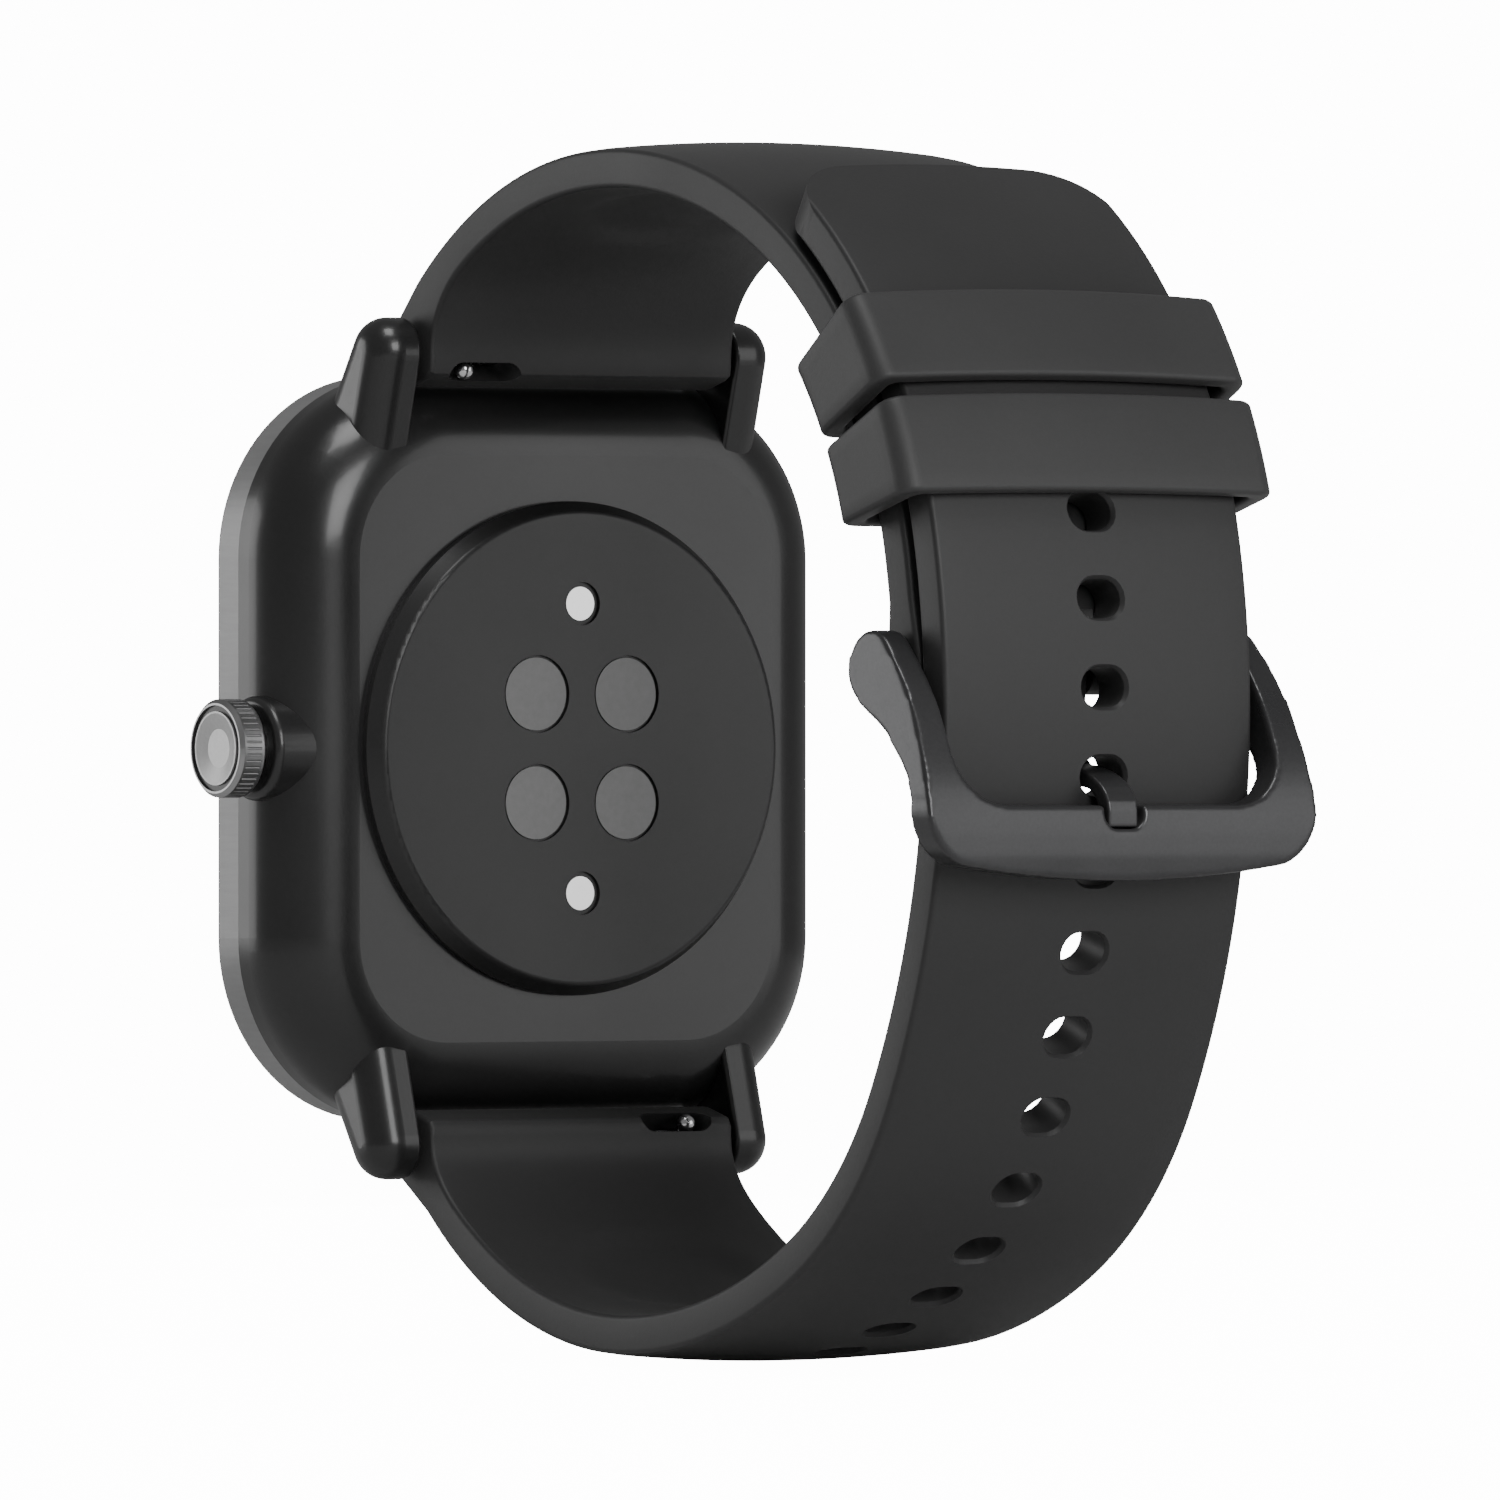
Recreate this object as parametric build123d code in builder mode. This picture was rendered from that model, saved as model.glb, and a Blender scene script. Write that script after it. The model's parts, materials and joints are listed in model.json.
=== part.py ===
from build123d import *
from math import sin, cos, radians
import os

os.makedirs("parts", exist_ok=True)

# Smartwatch, buckled. Millimetres. Origin: centre of the sensor disc's flat face, which
# rests on the wrist. +X crown side, +Y out of the back into the strap loop, +Z 12 o'clock.

# ---- driving dimensions ----
CASE_W, CASE_H, CASE_R = 35.8, 40.5, 10.0     # outline seen from the front
GLASS_Y, BEZEL_Y, BACK_Y = -8.94, -6.73, -1.38
BACK_FILLET = 4.33
WALL = 1.3
DISC_R, WINDOW_POS, CONTACT_Z = 13.43, 2.95, 7.86
CROWN_Y = -4.9
BAR_Y, BAR_Z = -2.3, 21.5                     # spring bar axes
KNOB_X, KNOB_A = 7.3, 32.0                    # quick-release knob and its lean
LUG_IN, LUG_OUT = 10.35, 13.1
STRAP_W, STRAP_EDGE, STRAP_MID = 19.8, 2.1, 2.6
LAYER_GAP = 0.1
PIN_Y, PIN_Z = 44.0, 4.2                      # buckle pin axis
HOLE_PITCH, HOLE_L, HOLE_H, HOLES = 4.68, 2.8, 2.1, 14
LEG_R = 1.95                                  # buckle leg's end round the pin
KEEPER_W, KEEPER_IN_W = 24.0, 21.4

# Inner face of the long strap: tangent arcs (radius, sweep in degrees) from the lowest
# point, going outwards, up past the buckle and over the top.
LOW = (17.7, -30.15)
LEFT_R, LEFT_A = 24.5, 41.0
ARCS = ((30.8, 29.25), (20.35, 33.0), (42.7, 39.45), (27.1, 55.1), (31.2, 32.8), (26.6, 33.5))
# The short strap lies inside it
INNER_OFF = -(LAYER_GAP + STRAP_MID)


def at_y(y):
    """Plane facing the display side at depth y; local x is X and local y is Z."""
    return Plane.XZ.offset(-y)


def arc_end(p, h, r, a):
    """End point, heading and centre of an arc that starts at p with heading h."""
    c = (p[0] - r * sin(radians(h)), p[1] + r * cos(radians(h)))
    g = h + a
    return (c[0] + r * sin(radians(g)), c[1] - r * cos(radians(g))), g, c


def chain_at(off, heading):
    """Point on the strap line, offset outwards by off, where it has this heading."""
    p, h = LOW, 0.0
    if heading < 0:
        c = (LOW[0], LOW[1] + LEFT_R)
        return (c[0] + (LEFT_R + off) * sin(radians(heading)),
                c[1] - (LEFT_R + off) * cos(radians(heading)))
    for r, a in ARCS:
        q, g, c = arc_end(p, h, r, a)
        if heading <= g + 1e-9:
            break
        p, h = q, g
    return (c[0] + (r + off) * sin(radians(heading)),
            c[1] - (r + off) * cos(radians(heading)))


def strap_arcs(off, h0, h1):
    """The arcs of the strap line between two headings, as (start, middle, end)."""
    cuts = [-LEFT_A, 0.0]
    for r, a in ARCS:
        cuts.append(cuts[-1] + a)
    stops = [h0] + [c for c in cuts if h0 + 0.01 < c < h1 - 0.01] + [h1]
    return [(chain_at(off, a), chain_at(off, (a + b) / 2), chain_at(off, b))
            for a, b in zip(stops, stops[1:])]


def across(off, heading):
    """Plane square to the strap line: local x is X, local y points out of the loop."""
    y, z = chain_at(off, heading)
    h = radians(heading)
    return Plane(origin=(0, y, z), x_dir=(1, 0, 0), z_dir=(0, cos(h), sin(h)))


def face_plane(off, heading):
    """Plane lying on the strap, facing out of the loop: local x is X."""
    y, z = chain_at(off, heading)
    h = radians(heading)
    return Plane(origin=(0, y, z), x_dir=(1, 0, 0), z_dir=(0, sin(h), -cos(h)))


def band(off, h0, h1):
    """Flat inside, gently domed outside, swept along the strap line."""
    with BuildPart() as b:
        with BuildLine() as path:
            for s, m, e in strap_arcs(off, h0, h1):
                ThreePointArc((0, s[0], s[1]), (0, m[0], m[1]), (0, e[0], e[1]))
        with BuildSketch(across(off, h0)):
            with BuildLine():
                w = STRAP_W / 2
                Polyline((w, STRAP_EDGE), (w, 0), (-w, 0), (-w, STRAP_EDGE))
                ThreePointArc((-w, STRAP_EDGE), (0, STRAP_MID), (w, STRAP_EDGE))
            make_face()
        sweep(path=path.line)
    return b.part


def on_bar(sign, angle):
    """Point on the strap end's round nose, as an angle about its spring bar."""
    return (BAR_Y + 1.93 * cos(radians(angle)), sign * (BAR_Z + 1.93 * sin(radians(angle))))


def bar_block(sign, off, join, last):
    """Strap end that wraps a spring bar, flowing out of the band at heading join."""
    p, q = chain_at(off, join), chain_at(off + STRAP_EDGE, join)
    r, m = chain_at(off + STRAP_EDGE, last), chain_at(off + STRAP_EDGE, (join + last) / 2)
    reach = 2.3 * sign
    with BuildPart() as b:
        with BuildSketch(Plane.YZ.offset(-STRAP_W / 2)):
            with BuildLine():
                Bezier(p, (p[0] + reach * cos(radians(join)), p[1] + reach * sin(radians(join))),
                       (0.08, sign * 23.3), (0.08, sign * 21.2))
                Line((0.08, sign * 21.2), (0.08, sign * 20.5))
                ThreePointArc((0.08, sign * 20.5), (-0.052, sign * 20.182), (-0.37, sign * 20.05))
                Line((-0.37, sign * 20.05), on_bar(sign, -78))
                ThreePointArc(on_bar(sign, -78), on_bar(sign, -150), on_bar(sign, 132))
                Line(on_bar(sign, 132), r)
                ThreePointArc(r, m, q)
                Line(q, p)
            make_face()
        extrude(amount=STRAP_W)
    return b.part


def knob_plane(sign, x):
    """Plane through a spring bar's axis, facing along its quick-release knob."""
    return Plane(origin=(x, BAR_Y, sign * BAR_Z), x_dir=(1, 0, 0),
                 z_dir=(0, cos(radians(KNOB_A)), -sign * sin(radians(KNOB_A))))


def bar_slot(sign, x):
    """Finger slot over the quick-release knob, cut from the inside face to the bore."""
    with BuildPart() as b:
        with BuildSketch(knob_plane(sign, x)):
            SlotOverall(4.2, 1.25)
        extrude(amount=4)
    return b.part


# ======== watch case ========
with BuildPart() as lug:
    with BuildSketch(Plane.YZ.offset(LUG_IN)):
        with Locations((BAR_Y + 0.25, BAR_Z - 0.1)):
            Circle(1.9)
        with Locations((-4.0, 17.0)):
            Circle(2.6)
        make_hull()
    extrude(amount=LUG_OUT - LUG_IN)
    fillet(lug.faces().sort_by(Axis.X)[-1].edges(), 1.7)
    fillet(lug.faces().sort_by(Axis.X)[0].edges(), 0.25)
    with BuildSketch(Plane.YZ.offset(LUG_IN)):
        with Locations((BAR_Y, BAR_Z)):
            Circle(0.45)
    extrude(amount=1.35, mode=Mode.SUBTRACT)

with BuildPart() as cavity:
    with BuildSketch(at_y(BEZEL_Y)):
        RectangleRounded(CASE_W - 2 * WALL, CASE_H - 2 * WALL, CASE_R - WALL)
    extrude(amount=-4.33)
    fillet(cavity.faces().sort_by(Axis.Y)[-1].edges(), 3.1)

with BuildPart() as boss:
    with BuildSketch(Plane.YZ.offset(13.0)):
        with Locations((CROWN_Y, 0)):
            Circle(2.83)
    extrude(amount=5.4)
    fillet(boss.faces().sort_by(Axis.X)[-1].edges(), 0.45)
    with BuildSketch(at_y(BEZEL_Y)):
        Rectangle(60, 20)
    extrude(amount=10, mode=Mode.SUBTRACT)

with BuildPart() as case_body:
    with BuildSketch(at_y(BEZEL_Y)):
        RectangleRounded(CASE_W, CASE_H, CASE_R)
    extrude(amount=-(BACK_Y - BEZEL_Y))
    fillet(case_body.faces().sort_by(Axis.Y)[-1].edges(), BACK_FILLET)
    add(boss.part)
    for part in (lug.part, lug.part.mirror(Plane.YZ)):
        add(part)
        add(part.mirror(Plane.XY))
    add(cavity.part, mode=Mode.SUBTRACT)
    # opening for the sensor cover
    with BuildSketch(at_y(-3)):
        Circle(11.8)
    extrude(amount=-3, mode=Mode.SUBTRACT)
    # screw posts
    with BuildSketch(at_y(-6.4)):
        with GridLocations(26.4, 29.2, 2, 2):
            Circle(1.25)
    extrude(amount=-4.2)
    with BuildSketch(at_y(-6.4)):
        with GridLocations(26.4, 29.2, 2, 2):
            Circle(0.5)
    extrude(amount=-3.0, mode=Mode.SUBTRACT)
    # crown bore and the recess round its neck
    with BuildSketch(Plane.YZ.offset(14)):
        with Locations((CROWN_Y, 0)):
            Circle(1.05)
    extrude(amount=5, mode=Mode.SUBTRACT)
    with BuildSketch(Plane.YZ.offset(17.8)):
        with Locations((CROWN_Y, 0)):
            Circle(1.75)
    extrude(amount=2, mode=Mode.SUBTRACT)
    # grooves for the front gasket and the sensor cover's glue
    with BuildSketch(at_y(BEZEL_Y)):
        RectangleRounded(CASE_W - 1.0, CASE_H - 1.0, CASE_R - 0.5)
        RectangleRounded(CASE_W - 1.7, CASE_H - 1.7, CASE_R - 0.85, mode=Mode.SUBTRACT)
    extrude(amount=-0.3, mode=Mode.SUBTRACT)
    with BuildSketch(at_y(BACK_Y - 0.1)):
        Circle(13.0)
        Circle(12.3, mode=Mode.SUBTRACT)
    extrude(amount=-1, mode=Mode.SUBTRACT)

with BuildPart() as front_gasket:
    with BuildSketch(at_y(BEZEL_Y)):
        RectangleRounded(CASE_W - 1.0, CASE_H - 1.0, CASE_R - 0.5)
        RectangleRounded(CASE_W - 1.7, CASE_H - 1.7, CASE_R - 0.85, mode=Mode.SUBTRACT)
    extrude(amount=-0.3)

with BuildPart() as front_bezel:
    with BuildSketch(at_y(BEZEL_Y)):
        RectangleRounded(CASE_W, CASE_H, CASE_R)
    extrude(amount=BEZEL_Y - GLASS_Y)
    fillet(front_bezel.faces().sort_by(Axis.Y)[0].edges(), 0.35)
    with BuildSketch(at_y(-7.95)):
        RectangleRounded(33.6, 38.3, 8.9)
    extrude(amount=2, mode=Mode.SUBTRACT)
    with BuildSketch(at_y(-6.0)):
        RectangleRounded(31.6, 36.3, 7.9)
    extrude(amount=4, mode=Mode.SUBTRACT)

with BuildPart() as cover_glass:
    with BuildSketch(at_y(-7.95)):
        RectangleRounded(33.5, 38.2, 8.85)
    extrude(amount=-7.95 - GLASS_Y)
    chamfer(cover_glass.faces().sort_by(Axis.Y)[0].edges(), 0.2)

with BuildPart() as display_adhesive:
    with BuildSketch(at_y(-7.85)):
        RectangleRounded(29.6, 34.4, 6.5)
        RectangleRounded(27.8, 32.6, 5.6, mode=Mode.SUBTRACT)
    extrude(amount=0.1)

with BuildPart() as display_panel:
    with BuildSketch(at_y(-6.95)):
        RectangleRounded(30.2, 35.0, 6.8)
    extrude(amount=0.9)

with BuildPart() as display_flex:
    with BuildSketch(Plane.YZ.offset(-3.5)):
        with BuildLine():
            Polyline((-6.95, -12.6), (-6.95, -15.6), (-3.25, -15.6), (-3.25, -13.4),
                     (-3.4, -13.4), (-3.4, -15.45), (-6.8, -15.45), (-6.8, -12.6), close=True)
        make_face()
    extrude(amount=7)

with BuildPart() as inner_frame:
    with BuildSketch(at_y(-6.4)):
        RectangleRounded(32.8, 37.5, 8.5)
        RectangleRounded(24, 24, 2, mode=Mode.SUBTRACT)
        with Locations((0, -14.6)):
            RectangleRounded(8.4, 4.6, 0.6, mode=Mode.SUBTRACT)
    extrude(amount=0.3)
    # cross ribs behind the display
    with BuildSketch(at_y(-6.4)):
        for z in (-4, 4):
            with Locations((0, z)):
                Rectangle(25, 1.6)
    extrude(amount=0.3)
    with BuildSketch(at_y(-6.0)):
        with GridLocations(26.4, 29.2, 2, 2):
            Circle(0.55)
    extrude(amount=2, mode=Mode.SUBTRACT)

with BuildPart() as frame_screws:
    for x in (-13.2, 13.2):
        for z in (-14.6, 14.6):
            with BuildSketch(at_y(-6.7)):
                with Locations((x, z)):
                    Circle(0.5)
            extrude(amount=-3.1)
            with BuildSketch(at_y(-6.7)):
                with Locations((x, z)):
                    Circle(0.9)
            extrude(amount=0.22)

with BuildPart() as battery:
    with BuildSketch(at_y(-6.3)):
        with Locations((-5.3, 0)):
            RectangleRounded(16.4, 25.6, 0.9)
    extrude(amount=-2.9)
    fillet(battery.faces().sort_by(Axis.Y)[0].edges(), 0.5)

with BuildPart() as battery_flex:
    with BuildSketch(Plane.YZ.offset(-7.5)):
        with BuildLine():
            Polyline((-5.0, 12.8), (-5.0, 13.5), (-3.4, 13.5), (-3.4, 15.6), (-3.25, 15.6),
                     (-3.25, 13.35), (-4.85, 13.35), (-4.85, 12.8), close=True)
        make_face()
    extrude(amount=4.5)

with BuildPart() as main_pcb:
    with BuildSketch(at_y(-3.25)):
        RectangleRounded(27.4, 32.6, 6)
        with GridLocations(26.4, 29.2, 2, 2):
            Circle(1.6, mode=Mode.SUBTRACT)
    extrude(amount=-0.6)

# chips: centre x, centre z, width, height, thickness
CHIPS = ((6.0, 1.4, 3.2, 3.2, 0.7), (5.2, -2.0, 2.2, 1.8, 0.6), (9.1, -2.0, 2.0, 1.2, 0.5),
         (4.9, 14.0, 2.4, 1.6, 0.6))
with BuildPart() as pcb_chips:
    for x, z, w, h, t in CHIPS:
        with BuildSketch(at_y(-3.25)):
            with Locations((x, z)):
                Rectangle(w, h)
        extrude(amount=t)

with BuildPart() as shield_can:
    with BuildSketch(at_y(-3.25)):
        with Locations((8.2, -8.2)):
            RectangleRounded(8.6, 9.4, 0.8)
    extrude(amount=1.5)
    with BuildSketch(at_y(-3.25)):
        with Locations((8.2, -8.2)):
            RectangleRounded(8.2, 9.0, 0.6)
    extrude(amount=1.3, mode=Mode.SUBTRACT)

with BuildPart() as vibration_motor_can:
    with BuildSketch(at_y(-3.25)):
        with Locations((8.7, 8.6)):
            Circle(3.7)
    extrude(amount=2.8)
    with BuildSketch(at_y(-3.5)):
        with Locations((8.7, 8.6)):
            Circle(3.4)
    extrude(amount=2.3, mode=Mode.SUBTRACT)
    with BuildSketch(at_y(-3.4)):
        with Locations((8.7, 8.6)):
            Circle(0.4)
    extrude(amount=2.5)

with BuildPart() as vibration_rotor:
    with BuildSketch(at_y(-4.0)):
        with Locations((8.7, 8.6)):
            Circle(3.1)
            with Locations((0, -2.9)):
                Rectangle(6.4, 4.0, mode=Mode.SUBTRACT)
            Circle(1.1)
            Circle(0.45, mode=Mode.SUBTRACT)
    extrude(amount=1.3)

# ======== sensor cover on the back ========
with BuildPart() as sensor_cover:
    with BuildSketch(at_y(0)):
        Circle(12.85)
    with BuildSketch(at_y(-0.95)):
        Circle(DISC_R)
    loft()
    with BuildSketch(at_y(BACK_Y)):
        Circle(DISC_R)
    extrude(amount=-0.43)
    fillet(sensor_cover.faces().sort_by(Axis.Y)[-1].edges(), 0.35)
    with BuildSketch(at_y(-2.38)):
        Circle(11.7)
    extrude(amount=-1.2)
    with BuildSketch(at_y(-2.38)):
        Circle(10.6)
    extrude(amount=-1.63, mode=Mode.SUBTRACT)
    with BuildSketch(at_y(-1)):
        with GridLocations(2 * WINDOW_POS, 2 * WINDOW_POS, 2, 2):
            Circle(2.0)
        with Locations((0, CONTACT_Z), (0, -CONTACT_Z)):
            Circle(0.95)
    extrude(amount=-2, mode=Mode.SUBTRACT)
    # wider mouths round the windows and the contacts
    with BuildSketch(at_y(-0.18)):
        with GridLocations(2 * WINDOW_POS, 2 * WINDOW_POS, 2, 2):
            Circle(2.12)
        with Locations((0, CONTACT_Z), (0, -CONTACT_Z)):
            Circle(1.18)
    extrude(amount=-2, mode=Mode.SUBTRACT)

with BuildPart() as sensor_glue:
    with BuildSketch(at_y(BACK_Y - 0.1)):
        Circle(13.0)
        Circle(12.3, mode=Mode.SUBTRACT)
    extrude(amount=-0.1)

with BuildPart() as sensor_windows:
    with BuildSketch(at_y(-0.7)):
        with GridLocations(2 * WINDOW_POS, 2 * WINDOW_POS, 2, 2):
            Circle(1.98)
    extrude(amount=-0.6)

with BuildPart() as charging_contacts:
    with BuildSketch(at_y(-1.85)):
        with Locations((0, CONTACT_Z), (0, -CONTACT_Z)):
            Circle(0.92)
    extrude(amount=-1.68)
    with BuildSketch(at_y(-1.2)):
        with Locations((0, CONTACT_Z), (0, -CONTACT_Z)):
            Circle(1.35)
    extrude(amount=-0.45)

with BuildPart() as charging_magnets:
    with BuildSketch(at_y(-1.8)):
        with Locations((7.5, 0), (-7.5, 0)):
            Circle(1.5)
    extrude(amount=-1.0)

with BuildPart() as optical_barrier:
    with BuildSketch(at_y(-1.85)):
        RectangleRounded(11.4, 11.4, 2.6)
        with GridLocations(2 * WINDOW_POS, 2 * WINDOW_POS, 2, 2):
            Circle(2.25, mode=Mode.SUBTRACT)
    extrude(amount=-1.08)

with BuildPart() as optical_chips:
    with BuildSketch(at_y(-1.85)):
        with GridLocations(2 * WINDOW_POS, 2 * WINDOW_POS, 2, 2):
            Rectangle(2.4, 2.0)
    extrude(amount=-0.5)

with BuildPart() as sensor_pcb:
    with BuildSketch(at_y(-2.35)):
        Circle(10.3)
    extrude(amount=-0.5)

# ======== crown ========
CROWN_PL = Plane(origin=(0, CROWN_Y, 0), x_dir=(0, 1, 0), z_dir=(1, 0, 0))

with BuildPart() as crown_head:
    with BuildSketch(CROWN_PL.offset(19.0)):
        Circle(2.66)
    extrude(amount=1.6)
    chamfer(crown_head.faces().sort_by(Axis.X)[-1].edges(), 0.22)
    fillet(crown_head.faces().sort_by(Axis.X)[0].edges(), 0.2)
    with BuildSketch(CROWN_PL.offset(20.3)):
        Circle(2.33)
    extrude(amount=1, mode=Mode.SUBTRACT)
    # neck between head and case
    with BuildSketch(CROWN_PL.offset(18.5)):
        Circle(1.5)
    extrude(amount=0.6)
    with BuildSketch(CROWN_PL.offset(18)):
        Circle(0.6)
    extrude(amount=2, mode=Mode.SUBTRACT)
    # knurled rim
    with BuildSketch(CROWN_PL.offset(19.3)):
        with PolarLocations(2.70, 48):
            Circle(0.085)
    extrude(amount=0.95, mode=Mode.SUBTRACT)

with BuildPart() as crown_inlay:
    with BuildSketch(CROWN_PL.offset(20.3)):
        Circle(2.0)
    extrude(amount=0.28)
    # shallow dish
    with BuildSketch(CROWN_PL.offset(20.36)):
        Circle(1.05)
    with BuildSketch(CROWN_PL.offset(20.581)):
        Circle(1.9)
    loft(mode=Mode.SUBTRACT)

with BuildPart() as crown_ring:
    with BuildSketch(CROWN_PL.offset(20.3)):
        Circle(2.33)
        Circle(2.0, mode=Mode.SUBTRACT)
    extrude(amount=0.16)

with BuildPart() as crown_stem:
    with BuildSketch(CROWN_PL.offset(15.3)):
        Circle(0.6)
    extrude(amount=4.7)
    # grooves for the snap ring and the O-ring
    with BuildSketch(CROWN_PL.offset(15.55)):
        Circle(0.6)
        Circle(0.42, mode=Mode.SUBTRACT)
    extrude(amount=0.25, mode=Mode.SUBTRACT)
    with BuildSketch(CROWN_PL.offset(16.7)):
        Circle(0.6)
        Circle(0.4, mode=Mode.SUBTRACT)
    extrude(amount=0.5, mode=Mode.SUBTRACT)

with BuildPart() as crown_snap_ring:
    with BuildSketch(CROWN_PL.offset(15.56)):
        Circle(0.98)
        Circle(0.42, mode=Mode.SUBTRACT)
        with Locations((0, -0.9)):
            Rectangle(0.5, 1.0, mode=Mode.SUBTRACT)
    extrude(amount=0.22)

with BuildPart() as crown_seal:
    with BuildSketch(CROWN_PL.offset(16.72)):
        Circle(0.635)
        Circle(0.4, mode=Mode.SUBTRACT)
    extrude(amount=0.46)

with BuildPart() as crown_tube:
    with BuildSketch(CROWN_PL.offset(15.9)):
        Circle(1.05)
        Circle(0.66, mode=Mode.SUBTRACT)
    extrude(amount=2.0)

with BuildPart() as crown_switch:
    with BuildSketch(at_y(-3.25)):
        with Locations((12.45, 0)):
            Rectangle(2.5, 3.2)
    extrude(amount=2.8)
    with BuildSketch(CROWN_PL.offset(12.3)):
        Circle(0.55)
    extrude(amount=2, mode=Mode.SUBTRACT)

with BuildPart() as switch_plunger:
    with BuildSketch(CROWN_PL.offset(12.8)):
        Circle(0.5)
    extrude(amount=2.48)

# ======== straps ========
TAIL_H = 150.0           # heading where the long strap's tail ends
UP_START_H = 96.0        # short strap: from the buckle pin
UP_END_H = 221.0         # to its spring bar
TANG_HOLE_S = 48.77       # tang's hole, measured along the outer face from the lowest point
SPLIT_H = 76.7           # between two holes: the long strap is built in two runs
LOW_KEEPER_H, UP_KEEPER_H = 111.0, 123.2


def heading_after(length, off):
    """Heading on the strap line after this length along it from the lowest point."""
    h = 0.0
    for r, a in ARCS:
        full = (r + off) * radians(a)
        if length <= full:
            return h + a * length / full
        length, h = length - full, h + a
    return h


with BuildPart() as strap_holes:
    for i in range(HOLES):
        h = heading_after(TANG_HOLE_S + HOLE_PITCH * (3 - i), STRAP_MID)
        with BuildSketch(face_plane(-2, h)):
            SlotOverall(HOLE_L, HOLE_H)
        extrude(amount=6)

with BuildPart() as strap_top_run:
    add(band(0, SPLIT_H, TAIL_H))
    add(strap_holes.part, mode=Mode.SUBTRACT)

with BuildPart() as long_strap:
    add(band(0, -33.0, SPLIT_H))
    add(strap_holes.part, mode=Mode.SUBTRACT)
    add(strap_top_run.part)
    add(bar_block(-1, 0, -33.0, -LEFT_A))
    # square-ended tail with rounded corners
    with BuildSketch(face_plane(-2, TAIL_H)):
        Rectangle(24, 8)
        with Locations((0, 4)):
            RectangleRounded(STRAP_W, 8, 3.9, mode=Mode.SUBTRACT)
    extrude(amount=6, mode=Mode.SUBTRACT)
    # bore for the spring bar, and the finger slot over its knob
    with BuildSketch(Plane.YZ.offset(-15)):
        with Locations((BAR_Y, -BAR_Z)):
            Circle(0.8)
    extrude(amount=30, mode=Mode.SUBTRACT)
    add(bar_slot(-1, -6.3), mode=Mode.SUBTRACT)

with BuildPart() as short_strap:
    add(band(INNER_OFF, UP_START_H, 212.0))
    o = INNER_OFF
    add(bar_block(1, o, 212.0, UP_END_H))
    # loop round the buckle pin
    with BuildSketch(Plane.YZ.offset(-STRAP_W / 2)):
        with Locations((PIN_Y, PIN_Z)):
            Circle(1.5)
        with Locations(chain_at(o + 0.1, UP_START_H), chain_at(o + STRAP_EDGE - 0.1, UP_START_H)):
            Circle(0.05)
        make_hull()
    extrude(amount=STRAP_W)
    with BuildSketch(Plane.YZ.offset(-15)):
        with Locations((BAR_Y, BAR_Z), (PIN_Y, PIN_Z)):
            Circle(0.8)
    extrude(amount=30, mode=Mode.SUBTRACT)
    add(bar_slot(1, 6.3), mode=Mode.SUBTRACT)
    # slot for the tang
    with BuildSketch(Plane.XZ.offset(-38)):
        with Locations((0, PIN_Z + 0.3)):
            RectangleRounded(2.7, 5.6, 0.6)
    extrude(amount=-12, mode=Mode.SUBTRACT)


def keeper_at(heading):
    """Rubber loop round both strap layers, centred at this heading."""
    half = 5.1
    with BuildPart() as k:
        with BuildSketch(across(0, heading - half)):
            for w, low, mid, edge, mode in (
                    (KEEPER_W / 2, INNER_OFF - 0.97, STRAP_MID + 1.0, STRAP_EDGE + 1.0, Mode.ADD),
                    (KEEPER_IN_W / 2, INNER_OFF - 0.12, STRAP_MID + 0.15, STRAP_EDGE + 0.2,
                     Mode.SUBTRACT)):
                with BuildLine():
                    Polyline((w, edge), (w, low), (-w, low), (-w, edge))
                    ThreePointArc((-w, edge), (0, mid), (w, edge))
                make_face(mode=mode)
        with BuildLine() as path:
            for s, m, e in strap_arcs(0, heading - half, heading + half):
                ThreePointArc((0, s[0], s[1]), (0, m[0], m[1]), (0, e[0], e[1]))
        sweep(path=path.line)
    return k.part


with BuildPart() as lower_keeper:
    add(keeper_at(LOW_KEEPER_H))

with BuildPart() as upper_keeper:
    add(keeper_at(UP_KEEPER_H))

# ======== quick-release spring bars ========


def bar_tube(sign, knob_side):
    """Tube of a spring bar, open at the sliding end, slotted for the knob."""
    with BuildPart() as t:
        with BuildSketch(Plane.YZ.offset(-9.7)):
            with Locations((BAR_Y, sign * BAR_Z)):
                Circle(0.75)
        extrude(amount=19.4)
        with BuildSketch(Plane.YZ.offset(-8.7 if knob_side > 0 else -9.8)):
            with Locations((BAR_Y, sign * BAR_Z)):
                Circle(0.52)
        extrude(amount=18.5, mode=Mode.SUBTRACT)
        with BuildSketch(knob_plane(sign, knob_side * 6.45)):
            SlotOverall(2.9, 0.7)
        extrude(amount=2, mode=Mode.SUBTRACT)
        # fixed tip at the other end
        with BuildSketch(Plane.YZ.offset(-knob_side * 9.7)):
            with Locations((BAR_Y, sign * BAR_Z)):
                Circle(0.4)
        extrude(amount=-knob_side * 1.8)
    return t.part


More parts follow.
